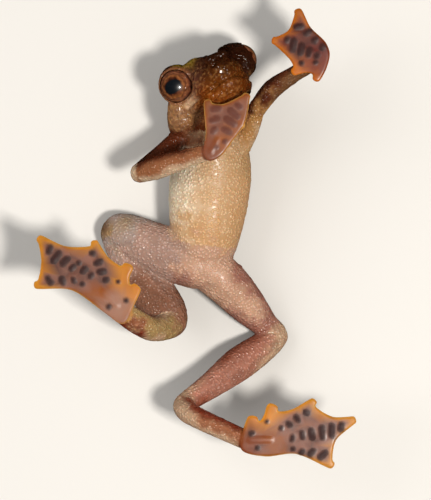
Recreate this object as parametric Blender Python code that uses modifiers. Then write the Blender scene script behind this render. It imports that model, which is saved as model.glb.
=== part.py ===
"""African tree toad (Nectophryne), life size, lying on its back with palms and soles raised to one level.

X runs to the right of the seen belly side, Y from the legs to the snout and Z up from the floor. Shapes are
worked out in millimetres and each finished node is brought to metres at the end.
"""

import math

import bmesh
import bpy
from mathutils import Matrix, Vector

# General sizes in millimetres
MM = 0.001
GAP = 0.3
SOLE = 10.9
WEB = 0.6
PAD_RISE = 0.28
FLESH_VOXEL = 0.2
PIECE_VOXEL = 0.14
HAND_VOXEL = 0.1
SLIVER = 0.01
CENTRE = Vector((-0.03, 0.07, 0.0))

# The head's own frame, with its middle half way between the eyes
HEAD_MIDDLE = Vector((1.41, 14.94, 6.4))
HEAD_FORWARD = Vector((0.183, 0.424, 0.887)).normalized()
HEAD_UP = Vector((-0.488, 0.828, -0.295)).normalized()
HEAD_LEFT = HEAD_UP.cross(HEAD_FORWARD).normalized()
EYE_MIDDLE = (0.1, 3.29, 0.3)
EYE_RADIUS = 1.4
SOCKET_RADIUS = EYE_RADIUS + GAP
LID_RADIUS = 0.26
EYE_BULGE = 1.85
MOUTH_LINE = [(6, -2.0), (3.4, -2.2), (0.5, -1.9), (-1.9, -1.75), (-3.3, -6.2)]

# Colours are linear, with roughness after them
SKIN_TONES = {
    "head": (0.075, 0.035, 0.018, 0.35),
    "lower_jaw": (0.25, 0.12, 0.04, 0.35),
    "torso": (0.55, 0.42, 0.28, 0.4),
    "eye": (0.30, 0.11, 0.05, 0.1),
    "arm": (0.22, 0.09, 0.05, 0.35),
    "leg": (0.45, 0.20, 0.17, 0.35),
    "hand": (0.50, 0.20, 0.05, 0.35),
    "foot": (0.50, 0.22, 0.05, 0.35),
}

# Stations along the flesh: place, then radius or the three radii of a flattened ball
TRUNK = [
    ((0.35, -2.9, 3.3), (2.2, 1.2, 2.2)),
    ((0.75, -1.2, 3.4), (3.0, 1.8, 3.1)),
    ((1.06, 0.9, 3.5), (3.4, 2.0, 3.6)),
    ((1.24, 3.0, 3.5), (3.7, 2.0, 3.8)),
    ((1.43, 5.3, 3.5), (3.85, 2.0, 3.8)),
    ((1.60, 7.4, 3.7), (3.6, 2.0, 3.7)),
    ((1.60, 9.2, 4.1), (3.0, 1.8, 3.4)),
    ((1.45, 10.7, 4.5), (2.5, 1.6, 3.1)),
    ((1.30, 12.2, 4.9), (2.4, 1.6, 2.9)),
]
LIMBS = {
    "right_arm": [
        ((-1.0, 9.2, 5.0), 1.35),
        ((-2.6, 8.0, 5.6), 1.1),
        ((-4.9, 6.2, 6.7), 0.95),
        ((-4.9, 6.1, 7.0), 0.95),
        ((-3.2, 6.6, 8.2), 1.1),
        ((-0.6, 7.4, 9.3), 0.85),
        ((0.9, 7.8, 9.9), 0.75),
    ],
    "left_arm": [
        ((4.0, 8.4, 5.0), 1.15),
        ((5.0, 9.9, 5.8), 0.92),
        ((5.6, 11.5, 6.9), 0.82),
        ((5.75, 11.9, 7.2), 0.82),
        ((7.2, 13.8, 8.0), 0.92),
        ((9.3, 15.2, 8.8), 0.75),
        ((11.2, 16.3, 9.6), 0.75),
    ],
    "left_leg": [
        ((0.97, -2.6, 3.8), 2.2),
        ((3.0, -4.3, 3.3), 2.1),
        ((4.85, -6.3, 2.4), 1.8),
        ((6.6, -8.2, 1.4), 1.25),
        ((7.6, -9.35, 1.05), 1.2),
        ((5.85, -10.75, 2.0), 1.5),
        ((4.0, -12.0, 3.1), 1.6),
        ((1.6, -13.8, 4.3), 1.25),
        ((-0.5, -15.2, 5.3), 1.0),
        ((-1.0, -15.75, 6.2), 1.05),
        ((-0.4, -16.4, 7.6), 1.0),
        ((1.8, -17.4, 9.1), 0.95),
        ((4.9, -18.75, 10.0), 0.9),
    ],
    "right_leg": [
        ((0.0, -2.6, 3.9), 2.2),
        ((-2.3, -1.6, 3.3), 2.5),
        ((-4.5, -0.7, 2.7), 2.35),
        ((-6.1, 0.1, 2.2), 2.1),
        ((-7.2, 0.4, 1.75), 1.75),
        ((-6.1, -2.2, 2.0), 1.8),
        ((-4.3, -4.8, 2.7), 2.1),
        ((-2.8, -6.7, 3.2), 1.9),
        ((-2.2, -7.9, 3.8), 1.45),
        ((-3.1, -8.5, 5.5), 1.15),
        ((-4.2, -8.5, 7.0), 1.1),
        ((-5.7, -7.6, 8.9), 1.1),
        ((-7.3, -6.4, 9.9), 1.0),
    ],
}

# The head's forms in its own frame: forward, left and up, with radii the same way
HEAD_CHAINS = [
    [((-3.6, 0, -1.6), (1.8, 2.6, 2.1)), ((-1.6, 0, -0.9), (2.6, 3.6, 2.3))],
    [
        ((-1.6, 0, -0.9), (2.6, 3.6, 2.3)),
        ((1.2, 0, -0.8), (2.4, 2.7, 1.9)),
        ((2.9, 0, -0.9), (1.35, 1.5, 1.15)),
    ],
    [
        ((-1.2, -0.2, -2.4), (2.4, 2.8, 1.1)),
        ((1.6, 0, -2.6), (1.9, 2.3, 0.9)),
        ((2.9, 0, -2.6), (1.1, 1.3, 0.75)),
    ],
    [
        ((2.3, 0, -2.9), (1.2, 1.4, 0.8)),
        ((0.4, -0.4, -3.3), (1.6, 1.6, 0.9)),
        ((-1.4, -0.8, -3.7), (1.8, 1.8, 1.0)),
    ],
]
CANTHUS = [((0.9, 2.4, 0.7), 0.6), ((2.3, 1.5, 0.45), 0.5), ((3.5, 0.8, -0.1), 0.4)]
UPPER_LIP = [
    ((-1.8, 3.35, -1.3), 0.4),
    ((0.2, 3.0, -1.5), 0.4),
    ((2.2, 2.0, -1.75), 0.4),
    ((3.7, 0.6, -1.85), 0.4),
]
LOWER_LIP = [
    ((-1.8, 3.2, -2.15), 0.45),
    ((0.2, 2.8, -2.3), 0.45),
    ((2.1, 1.8, -2.55), 0.42),
    ((3.4, 0.5, -2.6), 0.42),
]
CHEEK = [((-1.4, 3.4, -1.9), 0.9), ((-2.9, 3.3, -1.7), 1.1)]
NOSTRIL = Vector((3.95, 0.75, -0.45))
NOSTRIL_RADIUS = 0.24

# Where the flesh is parted: middle, direction through the cut and reach of the cut
JOINTS = {
    "right_shoulder": ((-2.45, 8.15, 5.5), (-1.0, -0.25, 0.2), 1.9),
    "right_elbow": ((-4.4, 6.4, 6.9), (-0.05, 0.36, -0.93), 2.7),
    "left_shoulder": ((4.9, 9.9, 5.6), (0.45, 0.83, 0.33), 1.45),
    "left_elbow": ((5.68, 11.7, 7.05), (0.5, 0.65, 0.57), 1.6),
    "left_knee": ((7.2, -9.3, 1.2), (0.1, -1.0, 0.1), 3.2),
    "left_heel": ((-0.8, -15.7, 5.9), (0.2, -0.45, 0.85), 1.9),
    "right_heel": ((-2.7, -8.2, 4.7), (-0.04, -0.62, 0.78), 2.4),
}
# Upright creases, as lines seen from above
CREASES = {
    "groin": [(-3.3, 1.9), (0.1, -3.9), (3.0, -1.6), (5.4, -1.2)],
    "crotch": [(0.1, -3.9), (0.0, -6.4)],
    "right_knee": [(-9.8, 2.3), (-6.3, -0.55), (-4.0, -2.6), (-2.0, -4.1), (0.4, -5.0)],
}
# The neck's crease, as pairs of ends from the floor up
NECK = [
    ((-3.2, 13.2, 0.0), (5.6, 14.2, 0.0)),
    ((-3.0, 11.5, 4.4), (5.3, 12.4, 4.4)),
    ((-2.6, 10.7, 6.2), (4.55, 11.6, 6.2)),
    ((-1.8, 9.6, 9.2), (4.8, 10.4, 9.2)),
]
WRISTS = {
    "right_arm": ((0.5, 7.6, 9.85), (0.75, 0.2, 0.63), 1.9),
    "left_arm": ((11.2, 16.3, 10.0), (0.1, 0.1, 1.0), 2.2),
    "left_leg": ((4.3, -18.5, 10.0), (0.86, -0.42, 0.3), 2.2),
    "right_leg": ((-6.5, -7.0, 9.4), (-0.68, 0.5, 0.53), 2.2),
}

# A point inside each piece of flesh, by which it is known after the cuts
FLESH = {
    "head": (0.8, 14.3, 4.0),
    "lower_jaw": (3.0, 13.2, 8.6),
    "torso": (1.4, 5.0, 3.5),
    "upper_arm_right": (-3.8, 7.0, 6.1),
    "forearm_right": (-3.0, 6.6, 8.3),
    "upper_arm_left": (5.5, 11.2, 6.0),
    "forearm_left": (8.4, 14.3, 8.2),
    "thigh_left": (4.2, -5.6, 2.8),
    "shank_left": (4.0, -12.0, 3.1),
    "tarsus_left": (1.6, -17.3, 9.0),
    "thigh_right": (-4.0, -0.9, 2.8),
    "shank_right": (-4.3, -4.8, 2.7),
    "tarsus_right": (-4.8, -7.5, 8.0),
}
FACES = {"head": 2300, "lower_jaw": 700, "torso": 1400}
FACES |= {"hand_left": 1150, "hand_right": 1150, "foot_left": 1500, "foot_right": 1500}
LIMB_FACES = 360

# Hands and feet: each digit runs base, middle, tip; each pad has its place, length and angle in degrees
LEFT_HAND = {
    "digits": [
        [(12.0, 16.5), (11.6, 15.4), (11.05, 14.35)],
        [(11.9, 16.9), (10.4, 16.0), (8.9, 15.1)],
        [(11.8, 17.3), (9.7, 17.6), (7.05, 18.2)],
        [(11.8, 17.6), (10.3, 18.9), (9.4, 21.1)],
    ],
    "webs": [[(10.35, 15.15)], [(8.7, 16.4)], [(8.6, 19.1)]],
    "heel": [(10.7, 19.4), (12.1, 18.0), (12.5, 16.9), (12.2, 15.6)],
    "palm": [((11.3, 16.9), 0.95), ((10.4, 17.3), 0.75)],
    "pads": [
        (9.61, 19.4, 1.05, 8),
        (10.38, 18.86, 0.95, 32),
        (11.05, 18.15, 0.8, 45),
        (11.75, 17.5, 0.75, 48),
        (8.5, 18.2, 0.75, 75),
        (9.1, 17.72, 1.4, 80),
        (9.82, 17.35, 1.3, 80),
        (10.52, 16.98, 1.1, 78),
        (11.2, 16.72, 0.75, 65),
        (9.85, 16.05, 0.65, 40),
        (11.1, 16.1, 0.6, 35),
    ],
}
RIGHT_HAND = {
    "digits": [
        [(2.0, 8.2), (2.9, 8.9), (3.7, 9.45)],
        [(2.3, 8.6), (3.5, 9.9), (4.4, 10.85)],
        [(2.1, 8.3), (3.3, 10.4), (4.95, 13.3)],
        [(1.7, 8.2), (1.6, 10.4), (1.15, 12.75)],
    ],
    "webs": [[(4.25, 10.1)], [(4.95, 11.8)], [(2.7, 12.35)]],
    "heel": [(1.0, 9.6), (0.75, 7.6), (1.5, 7.0), (2.7, 7.7)],
    "palm": [((1.5, 7.9), 0.75), ((2.1, 9.0), 0.6)],
    "pads": [
        (2.0, 11.82, 1.15, 6),
        (1.79, 10.86, 1.2, 20),
        (1.8, 9.85, 0.9, 42),
        (2.02, 8.3, 0.6, 20),
        (4.05, 12.1, 0.95, -42),
        (3.62, 11.4, 1.45, -40),
        (3.3, 10.65, 1.45, -36),
        (2.95, 9.85, 1.1, -26),
        (2.76, 8.85, 0.6, -20),
    ],
}
LEFT_FOOT = {
    "digits": [
        [(5.1, -18.0), (5.3, -17.2), (5.4, -16.35)],
        [(5.9, -18.1), (6.7, -16.7), (7.35, -15.3)],
        [(6.6, -18.3), (9.2, -16.8), (11.15, -14.9)],
        [(7.2, -18.7), (11.5, -18.0), (14.9, -16.7)],
        [(7.0, -19.2), (10.6, -19.6), (12.85, -21.1)],
    ],
    "webs": [[(6.35, -16.3)], [(9.0, -15.75)], [(12.7, -16.45)], [(13.05, -18.7)]],
    "heel": [(9.3, -19.95), (6.6, -20.2), (4.4, -19.6), (3.9, -17.4)],
    "palm": [((5.2, -18.6), 1.05), ((7.0, -18.6), 0.85)],
    "pads": [
        (13.48, -17.38, 1.25, 72),
        (12.62, -17.78, 1.75, 88),
        (11.74, -17.96, 1.8, -83),
        (10.79, -18.08, 1.5, -82),
        (9.92, -18.18, 1.2, -85),
        (9.0, -18.45, 1.05, 80),
        (11.8, -20.0, 1.45, 41),
        (10.82, -19.74, 1.15, 38),
        (9.86, -19.68, 0.9, 48),
        (9.06, -19.46, 0.65, 45),
        (10.3, -16.1, 0.9, -38),
        (9.43, -16.65, 1.15, -55),
        (8.69, -17.2, 0.95, -52),
        (8.0, -17.53, 0.7, -52),
        (5.29, -18.03, 0.9, 20),
        (5.8, -19.37, 0.6, 10),
    ],
}
RIGHT_FOOT = {
    "digits": [
        [(-6.7, -5.9), (-5.8, -5.1), (-5.15, -4.4)],
        [(-7.0, -5.4), (-6.6, -3.9), (-6.05, -2.35)],
        [(-7.7, -5.1), (-8.6, -2.7), (-9.3, -0.2)],
        [(-8.2, -5.1), (-11.0, -2.5), (-14.5, 0.05)],
        [(-8.3, -5.6), (-11.4, -4.0), (-14.85, -4.4)],
    ],
    "webs": [[(-5.9, -3.5)], [(-7.9, -1.8)], [(-11.9, -0.75)], [(-14.15, -2.2)]],
    "heel": [(-11.3, -4.9), (-8.1, -7.1), (-6.5, -8.0), (-5.4, -6.0)],
    "palm": [((-7.2, -6.2), 1.1), ((-8.4, -5.0), 0.8)],
    "pads": [
        (-13.36, -1.15, 1.2, 72),
        (-12.7, -1.82, 1.7, 52),
        (-11.92, -2.2, 1.55, 50),
        (-11.25, -2.78, 1.0, 48),
        (-10.62, -2.36, 0.7, 60),
        (-10.17, -3.0, 1.15, 50),
        (-9.5, -3.5, 0.95, 48),
        (-13.34, -3.96, 1.3, -55),
        (-12.15, -3.98, 1.2, -68),
        (-11.13, -3.92, 0.9, -66),
        (-10.32, -4.28, 0.6, -40),
        (-9.43, -1.5, 0.85, -8),
        (-8.88, -2.3, 1.2, 16),
        (-8.56, -3.15, 1.2, 8),
        (-8.14, -3.88, 0.9, 17),
        (-6.3, -5.8, 0.75, 40),
        (-7.9, -6.35, 0.6, -30),
    ],
}
DIGIT_RADIUS = 0.42
TIP_RADIUS = 0.36
PAD_RADIUS = 0.27
PAD_DEPTH = 0.12


def head_point(place):
    """A place in the head's frame, as a point of the whole model."""
    forward, left, up = place
    return HEAD_MIDDLE + HEAD_FORWARD * forward + HEAD_LEFT * left + HEAD_UP * up


def head_axes():
    """The head's forward, left and up as the columns of a turn."""
    return Matrix((HEAD_FORWARD, HEAD_LEFT, HEAD_UP)).transposed()


def mirrored(place):
    return (place[0], -place[1], place[2])


def radii_of(radius):
    return Vector((radius,) * 3) if isinstance(radius, (int, float)) else Vector(radius)


def object_from(bm, name):
    """A mesh object that holds the bmesh, in the scene's working collection."""
    mesh = bpy.data.meshes.new(name)
    bm.to_mesh(mesh)
    bm.free()
    obj = bpy.data.objects.new(name, mesh)
    working.objects.link(obj)
    return obj


def ball(bm, place, radius, axes=None, detail=2):
    """An icosphere, flattened where three radii are given. Returns its vertices."""
    turn = (axes or Matrix.Identity(3)).to_4x4()
    placed = Matrix.Translation(place) @ turn @ Matrix.Diagonal(radii_of(radius)).to_4x4()
    return bmesh.ops.create_icosphere(bm, subdivisions=detail, radius=1.0, matrix=placed)["verts"]


def span(bm, first, second, axes=None, detail=2):
    """The closed hull around two balls: a tapered, round-ended length."""
    balls = bmesh.new()
    ball(balls, *first, axes, detail)
    ball(balls, *second, axes, detail)
    points = [bm.verts.new(vert.co) for vert in balls.verts]
    balls.free()
    found = bmesh.ops.convex_hull(bm, input=points)
    inner = {v for v in found["geom_interior"] + found["geom_unused"] if isinstance(v, bmesh.types.BMVert)}
    bmesh.ops.delete(bm, geom=list(inner), context="VERTS")


def chain(bm, stations, axes=None, detail=2):
    for first, second in zip(stations, stations[1:]):
        span(bm, first, second, axes, detail)


def in_head(stations):
    return [(head_point(place), radius) for place, radius in stations]


def eye_place(side):
    forward, left, up = EYE_MIDDLE
    return head_point((forward, side * left, up))


def eye_axis(side):
    """Where an eye looks: outward and forward."""
    return (HEAD_FORWARD * 0.62 + HEAD_LEFT * side * 0.76 + HEAD_UP * 0.05).normalized()


def add_head(bm):
    axes = head_axes()
    for stations in HEAD_CHAINS:
        chain(bm, in_head(stations), axes, 3)
    for side in (1, -1):
        flip = (lambda place: place) if side == 1 else mirrored
        for ridge in (CANTHUS, UPPER_LIP, LOWER_LIP, CHEEK):
            chain(bm, in_head([(flip(place), radius) for place, radius in ridge]))
        ball(bm, eye_place(side) - eye_axis(side) * 0.35, EYE_BULGE, axes, 3)
        add_lid(bm, side)
    chain(bm, in_head([(UPPER_LIP[-1][0], 0.4), (mirrored(UPPER_LIP[-1][0]), 0.4)]))
    chain(bm, in_head([(LOWER_LIP[-1][0], 0.42), (mirrored(LOWER_LIP[-1][0]), 0.42)]))


def add_lid(bm, side):
    """The ring of lid around the eye's opening."""
    axis = eye_axis(side)
    across = axis.cross(HEAD_UP).normalized()
    over = across.cross(axis)
    ring = []
    steps = 16
    for step in range(steps + 1):
        turn = 2 * math.pi * step / steps
        out = across * math.cos(turn) + over * math.sin(turn)
        ring.append((eye_place(side) + axis * 0.5 + out * (SOCKET_RADIUS * 0.97), LID_RADIUS))
    chain(bm, ring, detail=1)


def modify(obj, kind, **settings):
    """Applies one modifier to the object's mesh."""
    modifier = obj.modifiers.new(kind.lower(), kind)
    for key, value in settings.items():
        setattr(modifier, key, value)
    graph = bpy.context.evaluated_depsgraph_get()
    mesh = bpy.data.meshes.new_from_object(obj.evaluated_get(graph))
    obj.modifiers.clear()
    old = obj.data
    obj.data = mesh
    bpy.data.meshes.remove(old)


def cut(obj, cutter, solver="MANIFOLD"):
    """Takes the cutter out of the object and removes it."""
    modify(obj, "BOOLEAN", operation="DIFFERENCE", object=cutter, solver=solver)
    bpy.data.objects.remove(cutter)


def disc(name, middle, through, reach):
    """A thin round plate, as thick as the gap between neighbours."""
    bm = bmesh.new()
    turn = Vector((0, 0, 1)).rotation_difference(Vector(through).normalized()).to_matrix().to_4x4()
    bmesh.ops.create_cone(
        bm, cap_ends=True, segments=24, radius1=reach, radius2=reach, depth=GAP,
        matrix=Matrix.Translation(middle) @ turn,
    )
    return object_from(bm, name)


def sheet(name, ends):
    """A bent plate through pairs of ends, as thick as the gap."""
    bm = bmesh.new()
    rows = [(bm.verts.new(a), bm.verts.new(b)) for a, b in ends]
    for (a, b), (c, d) in zip(rows, rows[1:]):
        bm.faces.new((a, b, d, c))
    obj = object_from(bm, name)
    modify(obj, "SOLIDIFY", thickness=GAP, offset=0.0, use_even_offset=True)
    bm = bmesh.new()
    bm.from_mesh(obj.data)
    bmesh.ops.recalc_face_normals(bm, faces=bm.faces)
    bm.to_mesh(obj.data)
    bm.free()
    return obj


def floor_block():
    """What lies below the floor, which leaves the small flats that the toad rests on."""
    bm = bmesh.new()
    place = Matrix.Translation((0, 0, -5)) @ Matrix.Diagonal((80, 80, 10, 1))
    bmesh.ops.create_cube(bm, size=1.0, matrix=place)
    return object_from(bm, "floor_block")


def build_flesh():
    """Trunk, limbs and head as one smooth body."""
    bm = bmesh.new()
    chain(bm, [(Vector(place), radii) for place, radii in TRUNK], None, 3)
    for stations in LIMBS.values():
        chain(bm, [(Vector(place), radius) for place, radius in stations])
    add_head(bm)
    flesh = object_from(bm, "flesh")
    modify(flesh, "REMESH", mode="VOXEL", voxel_size=FLESH_VOXEL)
    modify(flesh, "SMOOTH", factor=0.5, iterations=4)
    modify(flesh, "TRIANGULATE")
    return flesh


def part_flesh(flesh):
    """Cuts the flesh where a person would name its parts."""
    for name, (middle, through, reach) in {**JOINTS, **WRISTS}.items():
        cut(flesh, disc(name, Vector(middle), through, reach))
    for name, line in CREASES.items():
        cut(flesh, sheet(name, [(Vector((x, y, -1.0)), Vector((x, y, 9.0))) for x, y in line]))
    cut(flesh, sheet("neck", NECK))
    cut(flesh, sheet("mouth", [(head_point((f, -6, u)), head_point((f, 6, u))) for f, u in MOUTH_LINE]))
    for side in (1, -1):
        bm = bmesh.new()
        ball(bm, eye_place(side), SOCKET_RADIUS, None, 3)
        cut(flesh, object_from(bm, "socket"))
        bm = bmesh.new()
        place = NOSTRIL if side == 1 else Vector(mirrored(NOSTRIL))
        ball(bm, head_point(place), NOSTRIL_RADIUS, None, 2)
        cut(flesh, object_from(bm, "nostril"))


def pieces_of(obj):
    """The separate closed bodies in a mesh, as lists of face indices, largest first."""
    bm = bmesh.new()
    bm.from_mesh(obj.data)
    bm.faces.ensure_lookup_table()
    seen = set()
    found = []
    for face in bm.faces:
        if face.index in seen:
            continue
        seen.add(face.index)
        piece, front = [], [face]
        while front:
            here = front.pop()
            piece.append(here.index)
            for edge in here.edges:
                for other in edge.link_faces:
                    if other.index not in seen:
                        seen.add(other.index)
                        front.append(other)
        found.append(piece)
    bm.free()
    return sorted(found, key=len, reverse=True)


def keep_faces(obj, faces, name):
    """A new object with only these faces of the mesh."""
    bm = bmesh.new()
    bm.from_mesh(obj.data)
    wanted = set(faces)
    bmesh.ops.delete(bm, geom=[f for f in bm.faces if f.index not in wanted], context="FACES")
    return object_from(bm, name)


def drop_slivers(obj):
    """Closes up edges that are far shorter than anything that shows."""
    bm = bmesh.new()
    bm.from_mesh(obj.data)
    bmesh.ops.dissolve_degenerate(bm, dist=SLIVER, edges=bm.edges)
    bmesh.ops.triangulate(bm, faces=bm.faces)
    bm.to_mesh(obj.data)
    bm.free()


def thin(obj, wanted):
    """Brings the mesh down to about this many triangles."""
    drop_slivers(obj)
    share = min(1.0, wanted / len(obj.data.polygons))
    modify(obj, "DECIMATE", ratio=share, use_collapse_triangulate=True)
    drop_slivers(obj)


def name_flesh(flesh):
    """Makes a node of each piece of flesh that holds a named point."""
    pieces = pieces_of(flesh)
    mesh = flesh.data
    made = {}
    for name, inside in FLESH.items():
        inside = Vector(inside)

        def off(piece):
            return min((mesh.polygons[i].center - inside).length for i in piece)

        piece = min((p for p in pieces if len(p) > 60), key=off)
        parted = keep_faces(flesh, piece, name)
        modify(parted, "REMESH", mode="VOXEL", voxel_size=PIECE_VOXEL)
        node = keep_faces(parted, pieces_of(parted)[0], name)
        bpy.data.objects.remove(parted)
        thin(node, FACES.get(name, LIMB_FACES))
        if min(vert.co.z for vert in node.data.vertices) < 0:
            cut(node, floor_block())
        made[name] = node
    bpy.data.objects.remove(flesh)
    return made


def outline_of(form):
    """The web's edge: a round lobe at each tip, a scallop between tips and the heel of the hand or foot."""
    points = []
    digits = form["digits"]
    base = Vector(digits[0][0])
    first, last = (Vector(digits[number][2]) - base for number in (0, -1))
    turned = 1 if first.cross(last) > 0 else -1
    for number, (_, middle, tip) in enumerate(digits):
        tip = Vector(tip)
        ahead = (tip - Vector(middle)).normalized()
        side = Vector((-ahead.y, ahead.x)) * turned * TIP_RADIUS
        root = tip - ahead * TIP_RADIUS
        points += [root - side, tip, root + side]
        if number < len(form["webs"]):
            points += [Vector(p) for p in form["webs"][number]]
    return points + [Vector(p) for p in form["heel"]]


def web_plate(form, level, thickness):
    """The web as a flat outline with some thickness, made a mesh."""
    curve = bpy.data.curves.new("web", "CURVE")
    curve.dimensions = "2D"
    curve.fill_mode = "BOTH"
    curve.extrude = thickness / 2
    curve.resolution_u = 3
    spline = curve.splines.new("BEZIER")
    points = outline_of(form)
    spline.bezier_points.add(len(points) - 1)
    for knot, point in zip(spline.bezier_points, points):
        knot.co = (point.x, point.y, 0)
        knot.handle_left_type = knot.handle_right_type = "AUTO"
    spline.use_cyclic_u = True
    guide = bpy.data.objects.new("web", curve)
    working.objects.link(guide)
    guide.location.z = level - thickness / 2
    bpy.context.view_layer.update()
    graph = bpy.context.evaluated_depsgraph_get()
    mesh = bpy.data.meshes.new_from_object(guide.evaluated_get(graph))
    mesh.transform(guide.matrix_world)
    bpy.data.objects.remove(guide)
    bm = bmesh.new()
    bm.from_mesh(mesh)
    bmesh.ops.remove_doubles(bm, verts=bm.verts, dist=0.0001)
    bmesh.ops.recalc_face_normals(bm, faces=bm.faces)
    bpy.data.meshes.remove(mesh)
    return object_from(bm, "web")


def add_pads(form, pieces):
    """The raised bars that grip, with their roots in the sole."""
    radii = (PAD_RADIUS, PAD_RADIUS, PAD_RISE + PAD_DEPTH)
    for x, y, length, angle in form["pads"]:
        turn = math.radians(angle)
        half = Vector((math.cos(turn), math.sin(turn), 0)) * max(0.02, length / 2 - PAD_RADIUS)
        place = Vector((x, y, SOLE - PAD_DEPTH))
        bm = bmesh.new()
        span(bm, (place - half, radii), (place + half, radii), None, 1)
        pieces.append(object_from(bm, "pad"))


def build_hand(name, form, limb, wrist):
    """A webbed hand or foot: web, digits, palm and pads as one body, parted from its limb at the wrist."""
    plate = web_plate(form, SOLE, WEB)
    pieces = []
    for base, middle, tip in form["digits"]:
        ahead = (Vector(tip) - Vector(middle)).normalized()
        end = Vector(tip) - ahead * TIP_RADIUS
        low = SOLE - WEB + 0.05
        stations = [
            (Vector((*base, low)), (DIGIT_RADIUS, DIGIT_RADIUS, 0.5)),
            (Vector((*middle, low)), (DIGIT_RADIUS, DIGIT_RADIUS, 0.45)),
            (Vector((*end, SOLE - WEB / 2)), (TIP_RADIUS, TIP_RADIUS, WEB / 2 + 0.12)),
        ]
        for first, second in zip(stations, stations[1:]):
            bm = bmesh.new()
            span(bm, first, second)
            pieces.append(object_from(bm, "digit"))
    root = limb[-2:]
    palm = []
    for place, radius in form["palm"]:
        palm.append((Vector((*place, SOLE - radius * 0.75)), (radius, radius, radius * 0.8)))
    stations = [(Vector(place), radii_of(radius)) for place, radius in root] + palm
    for first, second in zip(stations, stations[1:]):
        bm = bmesh.new()
        span(bm, first, second)
        pieces.append(object_from(bm, "palm"))
    add_pads(form, pieces)
    joined = bpy.data.collections.new("joined")
    bpy.context.scene.collection.children.link(joined)
    for piece in pieces:
        joined.objects.link(piece)
    modify(
        plate,
        "BOOLEAN",
        operation="UNION",
        operand_type="COLLECTION",
        collection=joined,
        solver="MANIFOLD",
    )
    for piece in pieces:
        bpy.data.objects.remove(piece)
    bpy.data.collections.remove(joined)
    modify(plate, "REMESH", mode="VOXEL", voxel_size=HAND_VOXEL)
    modify(plate, "TRIANGULATE")
    middle, through, _ = wrist
    through = Vector(through).normalized()
    bm = bmesh.new()
    turn = Vector((0, 0, 1)).rotation_difference(through).to_matrix().to_4x4()
    place = Vector(middle) - through * (3.0 - GAP / 2)
    bmesh.ops.create_cube(bm, size=6.0, matrix=Matrix.Translation(place) @ turn)
    cut(plate, object_from(bm, "limb_side"))
    node = keep_faces(plate, pieces_of(plate)[0], name)
    bpy.data.objects.remove(plate)
    thin(node, FACES[name])
    return node


def build_eye(side):
    bm = bmesh.new()
    ball(bm, eye_place(side), EYE_RADIUS, None, 3)
    return object_from(bm, "eye_left" if side == 1 else "eye_right")


def material(name, tone):
    made = bpy.data.materials.new(name)
    made.use_nodes = True
    shader = made.node_tree.nodes["Principled BSDF"]
    shader.inputs["Base Color"].default_value = (*tone[:3], 1.0)
    shader.inputs["Roughness"].default_value = tone[3]
    shader.inputs["Metallic"].default_value = 0.0
    return made


def tone_of(name):
    """The key in SKIN_TONES for a node."""
    if name in SKIN_TONES:
        return name
    for word, key in (("eye", "eye"), ("arm", "arm"), ("hand", "hand"), ("foot", "foot")):
        if word in name:
            return key
    return "leg"


def finish(nodes):
    """Moves each node to its place round the origin, in metres, with its material and shading."""
    toad = bpy.data.collections.new("african_tree_toad")
    bpy.context.scene.collection.children.link(toad)
    materials = {key: material(key, tone) for key, tone in SKIN_TONES.items()}
    for name, node in nodes.items():
        node.data.transform(Matrix.Scale(MM, 4) @ Matrix.Translation(CENTRE))
        node.name = name
        node.data.materials.clear()
        node.data.materials.append(materials[tone_of(name)])
        node.data.shade_smooth()
        node.data.set_sharp_from_angle(angle=math.radians(50))
        working.objects.unlink(node)
        toad.objects.link(node)


for startup in list(bpy.data.objects):
    bpy.data.objects.remove(startup)
working = bpy.data.collections.new("working")
bpy.context.scene.collection.children.link(working)

whole = build_flesh()
part_flesh(whole)
parts = name_flesh(whole)
parts["hand_left"] = build_hand("hand_left", LEFT_HAND, LIMBS["left_arm"], WRISTS["left_arm"])
parts["hand_right"] = build_hand("hand_right", RIGHT_HAND, LIMBS["right_arm"], WRISTS["right_arm"])
parts["foot_left"] = build_hand("foot_left", LEFT_FOOT, LIMBS["left_leg"], WRISTS["left_leg"])
parts["foot_right"] = build_hand("foot_right", RIGHT_FOOT, LIMBS["right_leg"], WRISTS["right_leg"])
parts["eye_left"] = build_eye(1)
parts["eye_right"] = build_eye(-1)
finish(parts)
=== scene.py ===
"""African tree toad, life size, lying on its back with palms and soles pressed up to one level.

X runs to the right of the seen belly, Y from the legs to the snout and Z up from the floor. The skin and the
eyes are worked out in millimetres, and each finished piece is brought to metres.
"""

import math

import bmesh
import bpy
import numpy as np
from mathutils import Matrix, Vector, noise


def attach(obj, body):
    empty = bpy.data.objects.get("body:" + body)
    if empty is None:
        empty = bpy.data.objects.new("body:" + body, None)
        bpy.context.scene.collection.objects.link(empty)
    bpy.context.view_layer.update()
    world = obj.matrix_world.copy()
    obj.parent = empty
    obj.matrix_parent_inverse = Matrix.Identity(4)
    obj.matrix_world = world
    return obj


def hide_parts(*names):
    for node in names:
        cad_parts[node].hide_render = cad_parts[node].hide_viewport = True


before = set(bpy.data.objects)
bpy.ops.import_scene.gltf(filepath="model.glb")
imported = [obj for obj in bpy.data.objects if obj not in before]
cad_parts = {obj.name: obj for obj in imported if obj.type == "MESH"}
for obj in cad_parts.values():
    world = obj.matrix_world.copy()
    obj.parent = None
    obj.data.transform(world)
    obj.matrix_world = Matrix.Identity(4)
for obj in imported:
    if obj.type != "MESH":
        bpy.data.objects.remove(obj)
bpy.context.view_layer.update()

# Trunk and limbs. A soft, wet, loose-fitting skin over slim muscle: one closed form from snout to toes. It
# starts as a row of tapered lengths, each the hull of two balls, which later melt into one mesh.
# What brings the modelled skin over the solids, in millimetres
TO_SOLIDS = (-0.03, 0.07, 0.0)
TO_METRES = Matrix.Scale(0.001, 4) @ Matrix.Translation(TO_SOLIDS)
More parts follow.
